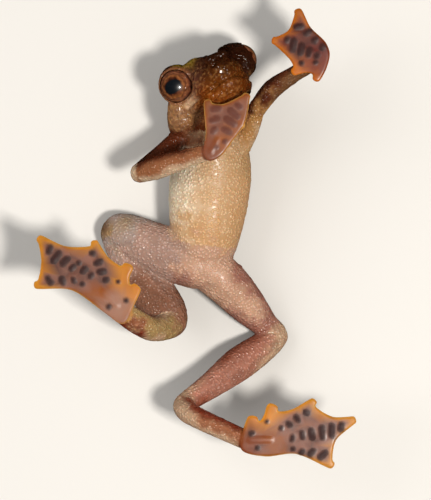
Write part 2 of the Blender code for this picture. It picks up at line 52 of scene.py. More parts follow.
# How often the faces of a ball are divided: for lids and digits, arms and lips, trunk and skull, eye sockets
SMALL, MEDIUM, FINE, FINEST = 2, 3, 4, 5
TRUNK = [
    ((0.35, -2.9, 3.3), (2.2, 1.2, 2.2)),
    ((0.75, -1.2, 3.4), (3.0, 1.8, 3.1)),
    ((1.06, 0.9, 3.5), (3.4, 2.0, 3.6)),
    ((1.24, 3.0, 3.5), (3.7, 2.0, 3.8)),
    ((1.43, 5.3, 3.5), (3.85, 2.0, 3.8)),
    ((1.60, 7.4, 3.7), (3.6, 2.0, 3.7)),
    ((1.60, 9.2, 4.1), (3.0, 1.8, 3.4)),
    ((1.45, 10.7, 4.5), (2.5, 1.6, 3.1)),
    ((1.30, 12.2, 4.9), (2.4, 1.6, 2.9)),
]
LIMBS = {
    "right_arm": [
        ((-1.0, 9.2, 5.0), 1.35),
        ((-2.6, 8.0, 5.6), 1.1),
        ((-4.9, 6.2, 6.7), 0.95),
        ((-4.9, 6.1, 7.0), 0.95),
        ((-3.2, 6.6, 8.2), 1.1),
        ((-0.6, 7.4, 9.3), 0.85),
        ((0.9, 7.8, 9.9), 0.75),
    ],
    "left_arm": [
        ((4.0, 8.4, 5.0), 1.15),
        ((5.0, 9.9, 5.8), 0.92),
        ((5.6, 11.5, 6.9), 0.82),
        ((5.75, 11.9, 7.2), 0.82),
        ((7.2, 13.8, 8.0), 0.92),
        ((9.3, 15.2, 8.8), 0.75),
        ((11.2, 16.3, 9.6), 0.75),
    ],
    "left_leg": [
        ((0.97, -2.6, 3.8), 2.2),
        ((3.0, -4.3, 3.3), 2.1),
        ((4.85, -6.3, 2.4), 1.8),
        ((6.6, -8.2, 1.4), 1.25),
        ((7.6, -9.35, 1.05), 1.2),
        ((5.85, -10.75, 2.0), 1.5),
        ((4.0, -12.0, 3.1), 1.6),
        ((1.6, -13.8, 4.3), 1.25),
        ((-0.5, -15.2, 5.3), 1.0),
        ((-1.0, -15.75, 6.2), 1.05),
        ((-0.4, -16.4, 7.6), 1.0),
        ((1.8, -17.4, 9.1), 0.95),
        ((4.9, -18.75, 10.0), 0.9),
    ],
    "right_leg": [
        ((0.0, -2.6, 3.9), 2.2),
        ((-2.3, -1.6, 3.3), 2.5),
        ((-4.5, -0.7, 2.7), 2.35),
        ((-6.1, 0.1, 2.2), 2.1),
        ((-7.2, 0.4, 1.75), 1.75),
        ((-6.1, -2.2, 2.0), 1.8),
        ((-4.3, -4.8, 2.7), 2.1),
        ((-2.8, -6.7, 3.2), 1.9),
        ((-2.2, -7.9, 3.8), 1.45),
        ((-3.1, -8.5, 5.5), 1.15),
        ((-4.2, -8.5, 7.0), 1.1),
        ((-5.7, -7.6, 8.9), 1.1),
        ((-7.3, -6.4, 9.9), 1.0),
    ],
}


def radii_of(radius):
    return Vector((radius,) * 3) if isinstance(radius, (int, float)) else Vector(radius)


def ball(bm, place, radius, axes=None, detail=MEDIUM):
    """An icosphere, flattened where three radii are given."""
    turn = (axes or Matrix.Identity(3)).to_4x4()
    placed = Matrix.Translation(place) @ turn @ Matrix.Diagonal(radii_of(radius)).to_4x4()
    bmesh.ops.create_icosphere(bm, subdivisions=detail, radius=1.0, matrix=placed)


def span(bm, first, second, axes=None, detail=MEDIUM):
    """The closed hull around two balls."""
    balls = bmesh.new()
    ball(balls, *first, axes, detail)
    ball(balls, *second, axes, detail)
    points = [bm.verts.new(vert.co) for vert in balls.verts]
    balls.free()
    found = bmesh.ops.convex_hull(bm, input=points)
    inner = {v for v in found["geom_interior"] + found["geom_unused"] if isinstance(v, bmesh.types.BMVert)}
    bmesh.ops.delete(bm, geom=list(inner), context="VERTS")


def chain(bm, stations, axes=None, detail=MEDIUM):
    for first, second in zip(stations, stations[1:]):
        span(bm, first, second, axes, detail)


def curve_point(start, leave, end, arrive, t):
    """The point at share t of a smooth curve with these directions at its start and end."""
    h1, h2 = 2 * t**3 - 3 * t**2 + 1, t**3 - 2 * t**2 + t
    h3, h4 = -2 * t**3 + 3 * t**2, t**3 - t**2
    return start * h1 + leave * h2 + end * h3 + arrive * h4


def softened(stations, steps=3, tension=0.38):
    """More stations on a smooth curve through the given ones."""
    places = [Vector(place) for place, _ in stations]
    radii = [radii_of(radius) for _, radius in stations]
    found = []
    for number in range(len(stations) - 1):
        before, after = max(number - 1, 0), min(number + 2, len(stations) - 1)
        for step in range(steps):
            station = []
            for row in (places, radii):
                leave = (row[number + 1] - row[before]) * tension
                arrive = (row[after] - row[number]) * tension
                station.append(curve_point(row[number], leave, row[number + 1], arrive, step / steps))
            found.append(tuple(station))
    found.append((places[-1], radii[-1]))
    return found


form = bmesh.new()
chain(form, softened(TRUNK), None, FINE)
for name, stations in LIMBS.items():
    chain(form, softened(stations), None, FINE if name.endswith("leg") else MEDIUM)

# Head. Broad and flat with a blunt snout, sharp ridges from the eyes to the nostrils, thin lips and large
# eyes that stand out at the sides. Its own frame runs forward, left and up from half way between the eyes.
# Side 1 is the toad's left, side -1 its right.
HEAD_MIDDLE = Vector((1.41, 14.94, 6.4))
HEAD_FORWARD = Vector((0.183, 0.424, 0.887)).normalized()
HEAD_UP = Vector((-0.488, 0.828, -0.295)).normalized()
HEAD_LEFT = HEAD_UP.cross(HEAD_FORWARD).normalized()
HEAD_AXES = Matrix((HEAD_FORWARD, HEAD_LEFT, HEAD_UP)).transposed()
SKULL = [
    [((-3.6, 0, -1.6), (1.8, 2.6, 2.1)), ((-1.6, 0, -0.9), (2.6, 3.5, 2.4))],
    [
        ((-1.6, 0, -0.9), (2.6, 3.5, 2.4)),
        ((1.2, 0, -0.8), (2.4, 2.7, 1.9)),
        ((2.9, 0, -0.9), (1.35, 1.5, 1.15)),
    ],
    [
        ((-1.2, -0.2, -2.4), (2.4, 2.9, 1.1)),
        ((1.6, 0, -2.6), (1.9, 2.3, 0.9)),
        ((2.9, 0, -2.6), (1.1, 1.3, 0.75)),
    ],
]
CANTHUS = [((0.7, 2.4, 1.15), 0.62), ((2.2, 1.55, 1.0), 0.55), ((3.5, 0.8, 0.25), 0.45)]
UPPER_LIP = [
    ((-1.8, 3.35, -1.3), 0.36),
    ((0.2, 3.0, -1.5), 0.36),
    ((2.2, 2.0, -1.75), 0.34),
    ((3.6, 0.6, -1.85), 0.34),
]
LOWER_LIP = [
    ((-1.8, 3.2, -2.05), 0.42),
    ((0.2, 2.8, -2.2), 0.46),
    ((2.1, 1.8, -2.4), 0.46),
    ((3.35, 0.5, -2.4), 0.44),
]
MOUTH_LINE = [(-1.9, -1.68), (0.5, -1.85), (2.2, -2.08), (3.4, -2.17), (6.0, -2.0)]
NOSTRIL = (3.95, 0.75, -0.45)
# The head is turned, which folds the right cheek up into a full pouch and draws the left one flat
CHEEKS = {
    1: [((-1.4, 3.0, -1.9), 0.6), ((-2.9, 2.7, -1.8), 0.8), ((-4.2, 2.4, -2.4), 0.9)],
    -1: [
        ((-1.2, -3.7, -1.0), 1.05),
        ((-2.0, -3.7, -1.9), 1.4),
        ((-3.2, -3.55, -2.3), 1.35),
        ((-4.4, -2.9, -2.5), 1.2),
    ],
}
THROAT = [
    ((2.3, 0, -2.9), (1.2, 1.4, 0.8)),
    ((0.4, -0.2, -3.3), (1.6, 1.8, 0.95)),
    ((-1.4, -0.9, -3.8), (1.9, 2.0, 1.15)),
    ((-3.0, -1.6, -4.8), (1.9, 1.9, 1.2)),
]
EYE_PLACES = {1: (0.1, 3.42, 0.36), -1: (0.1, -3.3, 0.46)}
EYE_AXES = {1: (0.15, 0.97, 0.15), -1: (0.737, -0.60, -0.22)}
EYE_RADIUS = 1.58
EYE_BULGE = 1.74
BULGE_IN = {1: 0.12, -1: 0.25}
BROW_UP = 0.3
BROW_IN = 0.5
LID_RING = {1: 1.42, -1: 1.58}
LID_HEIGHT = {1: 0.66, -1: 0.36}
LID_RADIUS = 0.12
LID_STEPS = 24
# How much wider (as a share), farther out and thicker the upper lid is than the lower one
LID_WIDER, LID_OUT, LID_THICKER = 0.03, 0.04, 0.07


def head_point(place):
    """A place in the head's frame, as a point of the whole toad."""
    return HEAD_MIDDLE + HEAD_AXES @ Vector(place)


def mirrored(place):
    return (place[0], -place[1], place[2])


def in_head(stations):
    return [(head_point(place), radius) for place, radius in stations]


def eye_place(side):
    return head_point(EYE_PLACES[side])


def eye_axis(side):
    """Where an eye looks: outward and forward."""
    return (HEAD_AXES @ Vector(EYE_AXES[side])).normalized()


def eye_frame(side):
    """Columns across, over and out along the eye's axis."""
    out = eye_axis(side)
    across = HEAD_UP.cross(out).normalized()
    return Matrix((across, out.cross(across), out)).transposed()


for stations in [*SKULL, THROAT]:
    chain(form, in_head(stations), HEAD_AXES, FINE)
for side in (1, -1):
    for ridge in (CANTHUS, UPPER_LIP, LOWER_LIP):
        chain(form, in_head([(place if side == 1 else mirrored(place), radius) for place, radius in ridge]))
    chain(form, in_head(CHEEKS[side]))
    ball(form, eye_place(side) - eye_axis(side) * BULGE_IN[side], EYE_BULGE, None, FINE)
    ball(form, eye_place(side) + HEAD_UP * BROW_UP - eye_axis(side) * BROW_IN, EYE_BULGE, None, FINE)
    turn = eye_frame(side)
    lid = []
    for step in range(LID_STEPS + 1):
        angle = 2 * math.pi * step / LID_STEPS
        above = max(0.0, math.sin(angle))
        out = Vector((math.cos(angle), math.sin(angle), 0)) * LID_RING[side] * (1 + LID_WIDER * above)
        out += Vector((0, 0, LID_HEIGHT[side] + LID_OUT * above))
        lid.append((eye_place(side) + turn @ out, LID_RADIUS + LID_THICKER * above))
    chain(form, lid, None, SMALL)
for ridge in (CANTHUS, UPPER_LIP, LOWER_LIP):
    place, radius = ridge[-1]
    chain(form, in_head([(place, radius), (mirrored(place), radius)]))

# Hands and feet. Each is a thin web between the digits, scalloped at its edge, with soft raised pads across
# the sole that grip by suction. All palms and soles lie at one level. A pad is a bar, given by its middle,
# length and angle.
SOLE = 10.9
WEB = 0.36
# Level and inset of the web's edge, from its upper face round the rim to its lower face
WEB_EDGE = [(SOLE - 0.02, 0.16), (SOLE - 0.1, 0.03), (SOLE - WEB + 0.08, 0.03), (SOLE - WEB, 0.16)]
EDGE_STEPS = 6
EDGE_TENSION = 0.8
DIGIT_RADIUS = 0.42
DIGIT_DEPTH = 0.42
TIP_RADIUS = 0.45
TIP_ROUND = 0.75
TIP_DEPTH, TIP_HIGH = 0.24, 0.23
TIP_FLESH = TIP_RADIUS - 0.08
# The first two digits of each hand and foot are slighter
INNER_DIGITS = 2
INNER_HIGH, OUTER_HIGH = 0.3, 0.4
PAD_DEPTH = 0.2
PAD_RISE = 0.25
PAD_WIDEST = 0.45
HANDS = {
    "hand_left": {
        "limb": "left_arm",
        "digits": [
            [(12.0, 16.5), (11.6, 15.4), (11.05, 14.35)],
            [(11.9, 16.9), (10.4, 16.0), (8.9, 15.1)],
            [(11.8, 17.3), (9.7, 17.6), (7.05, 18.2)],
            [(11.8, 17.6), (10.3, 18.9), (9.4, 21.1)],
        ],
        "webs": [[(10.35, 15.15)], [(8.7, 16.4)], [(8.6, 19.1)]],
        "heel": [(10.7, 19.4), (12.1, 18.0), (12.5, 16.9), (12.2, 15.6)],
        "palm": [((11.3, 16.9), 0.95), ((10.4, 17.3), 0.75)],
        "pads": [
            (9.61, 19.40, 1.24, 8),
            (10.38, 18.86, 1.12, 32),
            (11.05, 18.15, 0.94, 45),
            (11.75, 17.5, 0.89, 48),
            (8.5, 18.2, 0.89, 75),
            (9.1, 17.72, 1.65, 80),
            (9.82, 17.35, 1.53, 80),
            (10.52, 16.98, 1.30, 78),
            (11.2, 16.72, 0.89, 65),
            (9.85, 16.05, 0.65, 40),
            (11.1, 16.1, 0.6, 35),
        ],
    },
    "hand_right": {
        "limb": "right_arm",
        "digits": [
            [(1.9, 8.3), (2.7, 8.6), (3.45, 8.75)],
            [(2.3, 8.8), (3.6, 9.9), (4.72, 10.6)],
            [(2.1, 8.3), (3.3, 10.4), (4.95, 13.3)],
            [(1.7, 8.2), (1.6, 10.4), (1.15, 12.75)],
        ],
        "folded": 2,
        "webs": [[(4.2, 9.7)], [(4.98, 11.7)], [(2.7, 12.35)]],
        "heel": [(0.98, 9.6), (0.75, 7.7), (1.35, 7.0), (2.5, 7.5)],
        "palm": [((1.5, 7.9), 0.75), ((2.1, 9.0), 0.6)],
        "pads": [
            (2.0, 11.82, 1.36, 6),
            (1.79, 10.86, 1.42, 20),
            (1.8, 9.85, 1.06, 42),
            (2.02, 8.3, 0.5, 20),
            (4.05, 12.1, 1.12, -42),
            (3.62, 11.4, 1.71, -40),
            (3.3, 10.65, 1.71, -36),
            (2.95, 9.85, 1.30, -26),
            (2.76, 8.85, 0.55, -20),
        ],
    },
    "foot_left": {
        "limb": "left_leg",
        "inner_lobes": 1.35,
        "digits": [
            [(5.1, -18.0), (5.3, -17.2), (5.4, -16.35)],
            [(5.9, -18.1), (6.7, -16.7), (7.35, -15.3)],
            [(6.6, -18.3), (9.2, -16.8), (11.15, -14.9)],
            [(7.2, -18.7), (11.5, -18.0), (14.9, -16.7)],
            [(7.0, -19.2), (10.6, -19.6), (12.85, -21.1)],
        ],
        "webs": [[(6.35, -16.3)], [(9.0, -15.75)], [(12.7, -16.45)], [(13.05, -18.7)]],
        "heel": [(9.3, -19.95), (6.6, -20.2), (4.3, -19.6), (4.4, -17.8)],
        "palm": [((5.2, -18.6), 1.05), ((7.0, -18.6), 0.85)],
        "pads": [
            (13.48, -17.38, 1.25, 72),
            (12.62, -17.78, 1.75, 88),
            (11.74, -17.96, 1.8, -83),
            (10.79, -18.08, 1.5, -82),
            (9.92, -18.18, 1.2, -85),
            (9.0, -18.45, 1.05, 80),
            (11.8, -20.0, 1.45, 41),
            (10.82, -19.74, 1.15, 38),
            (9.86, -19.68, 0.9, 48),
            (9.06, -19.46, 0.65, 45),
            (10.3, -16.1, 0.9, -38),
            (9.43, -16.65, 1.15, -55),
            (8.69, -17.2, 0.95, -52),
            (8.0, -17.53, 0.7, -52),
            (6.67, -16.93, 0.4, 0),
            (5.29, -18.03, 0.9, 20),
            (5.8, -19.37, 0.6, 10),
        ],
    },
    "foot_right": {
        "limb": "right_leg",
        "inner_lobes": 1.35,
        "digits": [
            [(-6.7, -5.9), (-5.8, -5.1), (-5.15, -4.4)],
            [(-7.0, -5.4), (-6.6, -3.9), (-6.05, -2.35)],
            [(-7.7, -5.1), (-8.6, -2.7), (-9.3, -0.2)],
            [(-8.2, -5.1), (-11.0, -2.5), (-14.5, 0.05)],
            [(-8.3, -5.6), (-11.4, -4.0), (-14.85, -4.4)],
        ],
        "webs": [[(-5.9, -3.5)], [(-7.9, -1.8)], [(-11.9, -0.75)], [(-14.15, -2.2)]],
        "heel": [(-11.3, -4.9), (-8.1, -7.1), (-6.5, -8.0), (-5.4, -6.0)],
        "palm": [((-7.2, -6.2), 1.1), ((-8.4, -5.0), 0.8)],
        "pads": [
            (-13.36, -1.15, 1.2, 72),
            (-12.7, -1.82, 1.7, 52),
            (-11.92, -2.2, 1.55, 50),
            (-11.25, -2.78, 1.0, 48),
            (-10.62, -2.36, 0.7, 60),
            (-10.17, -3.0, 1.15, 50),
            (-9.5, -3.5, 0.95, 48),
            (-13.34, -3.96, 1.3, -55),
            (-12.15, -3.98, 1.2, -68),
            (-11.13, -3.92, 0.9, -66),
            (-10.32, -4.28, 0.6, -40),
            (-9.43, -1.5, 0.85, -8),
            (-8.88, -2.3, 1.2, 16),
            (-8.56, -3.15, 1.2, 8),
            (-8.14, -3.88, 0.9, 17),
            (-7.04, -4.09, 0.4, 0),
            (-6.3, -5.8, 0.75, 40),
            (-7.9, -6.35, 0.6, -30),
        ],
    },
}


def outline_of(hand):
    """The web's edge as a closed row of flat points: a round lobe at each tip, scallops between, the heel."""
    knots = []
    digits = hand["digits"]
    base = Vector(digits[0][0])
    first, last = (Vector(digits[number][2]) - base for number in (0, -1))
    turned = 1 if first.cross(last) > 0 else -1
    for number, (_, middle, tip) in enumerate(digits):
        tip = Vector(tip)
        ahead = (tip - Vector(middle)).normalized()
        lobe = hand.get("inner_lobes", 1.0) if number < INNER_DIGITS else 1
        side = Vector((-ahead.y, ahead.x)) * turned * TIP_RADIUS * lobe
        root = tip - ahead * TIP_RADIUS
        if number < hand.get("folded", 0):
            knots.append(tip)
        else:
            knots += [root - side, root - side * TIP_ROUND + ahead * TIP_RADIUS * TIP_ROUND, tip]
            knots += [root + side * TIP_ROUND + ahead * TIP_RADIUS * TIP_ROUND, root + side]
        if number < len(hand["webs"]):
            knots += [Vector(p) for p in hand["webs"][number]]
    knots += [Vector(p) for p in hand["heel"]]
    found = []
    count = len(knots)
    for number in range(count):
        a, b, c, d = (knots[(number + shift) % count] for shift in (-1, 0, 1, 2))
        span_length = (c - b).length
        leave = (c - a).normalized() * span_length * EDGE_TENSION
        arrive = (d - b).normalized() * span_length * EDGE_TENSION
        for step in range(EDGE_STEPS):
            found.append(curve_point(b, leave, c, arrive, step / EDGE_STEPS))
    return found


def add_web(bm, outline):
    """A plate of web whose edge thins out to a fine rim."""
    count = len(outline)
    area = sum(a.x * b.y - b.x * a.y for a, b in zip(outline, outline[1:] + outline[:1]))
    inward = 1 if area > 0 else -1
    sideways = []
    for number in range(count):
        along = (outline[(number + 1) % count] - outline[number - 1]).normalized()
        sideways.append(Vector((-along.y, along.x)) * inward)
    rows = []
    for level, inset in WEB_EDGE:
        rows.append([bm.verts.new((*(p + n * inset), level)) for p, n in zip(outline, sideways)])
    for upper, lower in zip(rows, rows[1:]):
        for number in range(count):
            after = (number + 1) % count
            bm.faces.new((upper[number], upper[after], lower[after], lower[number]))
    bm.faces.new(rows[0])
    bm.faces.new(list(reversed(rows[-1])))


def pad_ends(pad):
    """The two ends of a pad's bar and its half width."""
    x, y, length, angle = pad
    half = Vector((math.cos(math.radians(angle)), math.sin(math.radians(angle)))) * length * 0.5
    wide = min(PAD_WIDEST, 0.26 + length * 0.13)
    half *= max(0.05, 1 - wide / (length * 0.5))
    return Vector((x, y)) - half, Vector((x, y)) + half, wide


def add_hand(bm, hand):
    """Digits, palm and pads of one hand or foot, joined to the end of its limb."""
    low = SOLE - DIGIT_DEPTH
    for number, (base, middle, tip) in enumerate(hand["digits"]):
        ahead = (Vector(tip) - Vector(middle)).normalized()
        end = Vector(tip) - ahead * TIP_RADIUS
        high = INNER_HIGH if number < INNER_DIGITS else OUTER_HIGH
        line = [
            (Vector((*base, low)), (DIGIT_RADIUS, DIGIT_RADIUS, high)),
            (Vector((*middle, low)), (DIGIT_RADIUS, DIGIT_RADIUS, high)),
            (Vector((*end, SOLE - TIP_DEPTH)), (TIP_FLESH, TIP_FLESH, TIP_HIGH)),
        ]
        chain(bm, softened(line, 2), None, SMALL)
    wrist_and_palm = [(Vector(place), radii_of(radius)) for place, radius in LIMBS[hand["limb"]][-2:]]
    for place, radius in hand["palm"]:
        wrist_and_palm.append((Vector((*place, SOLE - radius * 0.75)), (radius, radius, radius * 0.8)))
    chain(bm, wrist_and_palm)
    for pad in hand["pads"]:
        first, second, wide = pad_ends(pad)
        radii = (wide, wide, PAD_RISE)
        ends = [(Vector((*end, SOLE - PAD_DEPTH)), radii) for end in (first, second)]
        span(bm, *ends, None, SMALL)


outlines = {name: outline_of(hand) for name, hand in HANDS.items()}
for name, hand in HANDS.items():
    add_web(form, outlines[name])
    add_hand(form, hand)

# The skin itself. All these forms melt into one fine mesh, which is smoothed and then gets its eye sockets,
# mouth, nostrils, warts and a fine unevenness, and the flats where it lies on the floor.
SKIN_VOXEL = 0.09
SKIN_TRIANGLES = 190000
SOCKET_GAP = 0.01
OPENING_INSIDE_LID = 0.1
OPENING_DEPTH = 2.0
OPENING_FLARE = 1.1
MOUTH_WIDTH = 0.17
MOUTH_DEPTH = 0.19
NOSTRIL_WIDTH = 0.2
NOSTRIL_DEPTH = 0.45
WARTS_PER_MM = 1.1
WART_HEIGHT, WART_MORE_ON_TRUNK = 0.09, 0.13
UNEVEN_PER_MM = 3.1
UNEVEN_HEIGHT = 0.02


def modify(obj, kind, **settings):
    """Applies one modifier to the object's mesh."""
    modifier = obj.modifiers.new(kind.lower(), kind)
    for key, value in settings.items():
        setattr(modifier, key, value)
    graph = bpy.context.evaluated_depsgraph_get()
    mesh = bpy.data.meshes.new_from_object(obj.evaluated_get(graph))
    obj.modifiers.clear()
    old = obj.data
    obj.data = mesh
    bpy.data.meshes.remove(old)


def object_of(bm, name):
    mesh = bpy.data.meshes.new(name)
    bm.to_mesh(mesh)
    bm.free()
    obj = bpy.data.objects.new(name, mesh)
    bpy.context.scene.collection.objects.link(obj)
    return obj


def take_out(obj, cutter):
    modify(obj, "BOOLEAN", operation="DIFFERENCE", object=cutter, solver="MANIFOLD")
    bpy.data.objects.remove(cutter)


def points_and_normals(obj):
    count = len(obj.data.vertices)
    points = np.empty(count * 3, np.float32)
    normals = np.empty(count * 3, np.float32)
    obj.data.vertices.foreach_get("co", points)
    obj.data.vertex_normals.foreach_get("vector", normals)
    return points.reshape(-1, 3).astype(float), normals.reshape(-1, 3).astype(float)


def step_up(value, low, high):
    """0 below low and 1 above high, with a soft step between."""
    share = np.clip((value - low) / (high - low), 0, 1)
    return share * share * (3 - 2 * share)


def noise_at(points, per_mm):
    """Soft noise at each point, with this many waves to a millimetre."""
    return np.array([noise.noise(Vector(p) * per_mm) for p in points])


def head_coordinates(points):
    return (points - np.array(HEAD_MIDDLE)) @ np.array(HEAD_AXES)


skin = object_of(form, "skin")
modify(skin, "REMESH", mode="VOXEL", voxel_size=SKIN_VOXEL)
modify(skin, "SMOOTH", factor=0.5, iterations=5)
modify(skin, "TRIANGULATE")
for side in (1, -1):
    socket = bmesh.new()
    ball(socket, eye_place(side), EYE_RADIUS + SOCKET_GAP, None, FINEST)
    take_out(skin, object_of(socket, "socket"))
    opening = bmesh.new()
    middle = Matrix.Translation((0, 0, LID_HEIGHT[side] + OPENING_DEPTH / 2))
    placed = Matrix.Translation(eye_place(side)) @ eye_frame(side).to_4x4() @ middle
    narrow = LID_RING[side] - OPENING_INSIDE_LID
    bmesh.ops.create_cone(
        opening,
        cap_ends=True,
        segments=64,
        radius1=narrow,
        radius2=narrow + OPENING_FLARE,
        depth=OPENING_DEPTH,
        matrix=placed,
    )
    take_out(skin, object_of(opening, "opening"))

points, normals = points_and_normals(skin)
head_place = head_coordinates(points)
f, l, u = head_place.T
sunk = np.zeros(len(points))
level = np.interp(f, *zip(*MOUTH_LINE))
in_mouth = step_up(f, -0.8, 0.2) * step_up(-f, -5.2, -4.6) * step_up(-abs(l), -4.4, -3.9)
in_mouth *= np.exp(-(((u - level) / MOUTH_WIDTH) ** 2)) * step_up(np.hypot(f - 0.5, l), 1.5, 2.4)
sunk += MOUTH_DEPTH * in_mouth
for side in (1, -1):
    nostril = np.array([NOSTRIL[0], side * NOSTRIL[1], NOSTRIL[2]])
    gap = np.linalg.norm(head_place - nostril, axis=1)
    swollen = 0.03 * np.exp(-(((gap - 0.4) / 0.16) ** 2))
    sunk += NOSTRIL_DEPTH * np.exp(-((gap / NOSTRIL_WIDTH) ** 2)) - swollen
back = step_up(-normals[:, 2], -0.1, 0.5) * step_up(points[:, 2], 0.0, 0.6)
wart = np.array([noise.voronoi(Vector(p) * WARTS_PER_MM)[0][0] for p in points])
uneven = noise_at(points, UNEVEN_PER_MM)
on_hand = step_up(points[:, 2], 9.4, 10.0)
on_trunk = step_up(-abs(points[:, 0] - 1.3), -5.4, -4.0) * step_up(points[:, 1], -4.6, -2.8)
wart_height = WART_HEIGHT + WART_MORE_ON_TRUNK * on_trunk
sunk -= back * wart_height * step_up(-wart, -0.42, -0.12) * (1 - on_hand)
sunk -= UNEVEN_HEIGHT * uneven * (1 - on_hand)
points -= normals * sunk[:, None]
points[:, 2] = np.maximum(points[:, 2], 0.0)
skin.data.vertices.foreach_set("co", points.astype(np.float32).reshape(-1))
kept_share = min(1.0, SKIN_TRIANGLES / len(skin.data.polygons))
modify(skin, "DECIMATE", ratio=kept_share, use_collapse_triangulate=True)

# Colours of the skin. Cream granules on the chest and belly, pinker toward the legs; dark brown head with an
# amber throat; orange webs with purple-brown pads; a brown, warty back. Each place has a tone of its own,
# and the tones run together.
TONES = {
    "cream": (220, 188, 149),
    "cream_lit": (254, 245, 222),
    "chest": (206, 178, 144),
    "flank": (200, 164, 118),
    "tan": (216, 176, 130),
    "groin": (210, 174, 152),
    "thigh_pink": (168, 120, 108),
    "thigh_mauve": (188, 160, 150),
    "knee_olive": (184, 172, 170),
    "knee_gold": (178, 152, 112),
    "shank_pink": (180, 128, 112),
    "shank_red": (150, 90, 72),
    "shank_mauve": (154, 113, 94),
    "heel": (200, 172, 146),
    "heel_gold": (184, 158, 110),
    "instep": (162, 110, 82),
    "instep_red": (122, 52, 34),
    "arm_black": (52, 30, 22),
    "arm_dark": (92, 46, 28),
    "arm_rust": (158, 107, 75),
    "arm_cream": (208, 186, 160),
    "arm_tan": (188, 144, 90),
    "arm_lilac": (120, 86, 58),
    "head_dark": (42, 22, 12),
    "loreal": (102, 64, 50),
    "canthus": (120, 104, 14),
    "snout": (46, 20, 8),
    "chin": (118, 64, 20),
    "throat": (140, 70, 12),
    "rust": (112, 54, 22),
    "cheek": (146, 108, 78),
    "cheek_shaded": (72, 42, 22),
    "gold": (196, 154, 92),
    "lip": (232, 200, 166),
    "lid": (138, 92, 62),
    "lid_shaded": (52, 26, 14),
    "back": (92, 62, 44),
    "back_dark": (54, 36, 28),
    "web": (184, 122, 24),
    "web_orange": (184, 98, 8),
    "web_shaded": (168, 92, 6),
    "web_brown": (126, 68, 22),
    "rim": (214, 168, 84),
    "rim_shaded": (176, 106, 22),
    "sole": (118, 58, 30),
    "sole_between": (126, 84, 70),
    "pad": (52, 27, 25),
    "palm": (120, 68, 46),
    "palm_between": (128, 80, 60),
    "palm_pad": (96, 50, 36),
    "palm_red": (98, 26, 14),
    "palm_red_between": (98, 42, 26),
    "palm_red_pad": (50, 16, 12),
    "hand_back": (112, 74, 44),
}


def tone(name):
    """The named tone, linear."""
    value = np.array(TONES[name]) / 255
    return np.where(value <= 0.04045, value / 12.92, ((value + 0.055) / 1.055) ** 2.4)


def mixed(first, second, share):
    """The first colours moved toward the second by each point's share."""
    return first + (second - first) * share[:, None]


# For each limb, the tones seen across it, station by station: its left, middle and right going outward
LIMB_TONES = {
    "trunk": [
        ("thigh_mauve", "groin", "groin"),
        ("thigh_mauve", "groin", "groin"),
        ("cream", "tan", "tan"),
        # The trunk's left side is lightened to a near-white cream: painted light
        ("cream_lit", "cream", "tan"),
        ("cream_lit", "cream", "tan"),
        ("cream_lit", "cream", "flank"),
        ("arm_rust", "chest", "chest"),
        ("arm_dark", "rust", "flank"),
        ("arm_dark", "rust", "rust"),
    ],
    "right_arm": [
        ("rust", "arm_dark", "arm_dark"),
        ("arm_black", "arm_dark", "arm_dark"),
        ("arm_black", "arm_dark", "arm_black"),
        ("arm_dark", "arm_rust", "arm_cream"),
        ("arm_dark", "arm_rust", "arm_cream"),
        ("arm_dark", "arm_rust", "arm_cream"),
        ("arm_rust", "arm_rust", "arm_cream"),
    ],
    "left_arm": [
        ("flank", "chest", "flank"),
        ("arm_tan", "arm_tan", "chest"),
        ("arm_rust", "arm_tan", "arm_tan"),
        ("arm_dark", "arm_tan", "arm_tan"),
        ("arm_black", "arm_dark", "arm_lilac"),
        ("arm_dark", "arm_lilac", "arm_lilac"),
        ("arm_dark", "arm_lilac", "arm_lilac"),
    ],
    "left_leg": [
        ("groin", "groin", "groin"),
        ("thigh_pink", "groin", "groin"),
        ("thigh_pink", "groin", "thigh_pink"),
        ("thigh_pink", "thigh_pink", "thigh_pink"),
        ("heel", "heel", "thigh_pink"),
        ("heel", "shank_pink", "shank_red"),
        ("shank_pink", "shank_pink", "shank_red"),
        ("shank_pink", "shank_pink", "shank_pink"),
        ("shank_red", "shank_pink", "heel"),
        ("shank_red", "heel", "heel"),
        ("instep_red", "heel", "heel"),
        ("instep_red", "instep", "heel"),
        ("instep_red", "instep", "heel"),
    ],
    "right_leg": [
        ("thigh_pink", "groin", "groin"),
        ("thigh_mauve", "thigh_mauve", "thigh_mauve"),
        ("thigh_mauve", "thigh_mauve", "thigh_mauve"),
        ("thigh_mauve", "knee_olive", "knee_olive"),
        ("thigh_mauve", "knee_gold", "knee_olive"),
        ("thigh_mauve", "thigh_mauve", "thigh_mauve"),
        ("thigh_mauve", "shank_mauve", "shank_mauve"),
        ("shank_mauve", "shank_mauve", "shank_mauve"),
        ("shank_mauve", "shank_mauve", "heel"),
        ("heel_gold", "heel_gold", "heel"),
        ("heel", "heel_gold", "heel_gold"),
        ("instep_red", "instep", "heel_gold"),
        ("sole", "sole", "heel_gold"),
    ],
}

# Single patches of tone: place, reach, tone and strength
PATCHES = [
    ((-0.3, 9.2, 6.5), 1.4, "rust", 0.75),
    ((-6.8, 1.2, 3.2), 1.3, "knee_gold", 0.7),
    ((-8.6, 0.9, 2.6), 0.9, "back", 0.8),
    ((-7.6, 2.1, 2.6), 0.9, "knee_olive", 0.8),
    ((8.4, -9.0, 1.6), 0.9, "heel", 0.9),
    ((5.6, -9.6, 2.2), 0.8, "shank_red", 0.6),
]

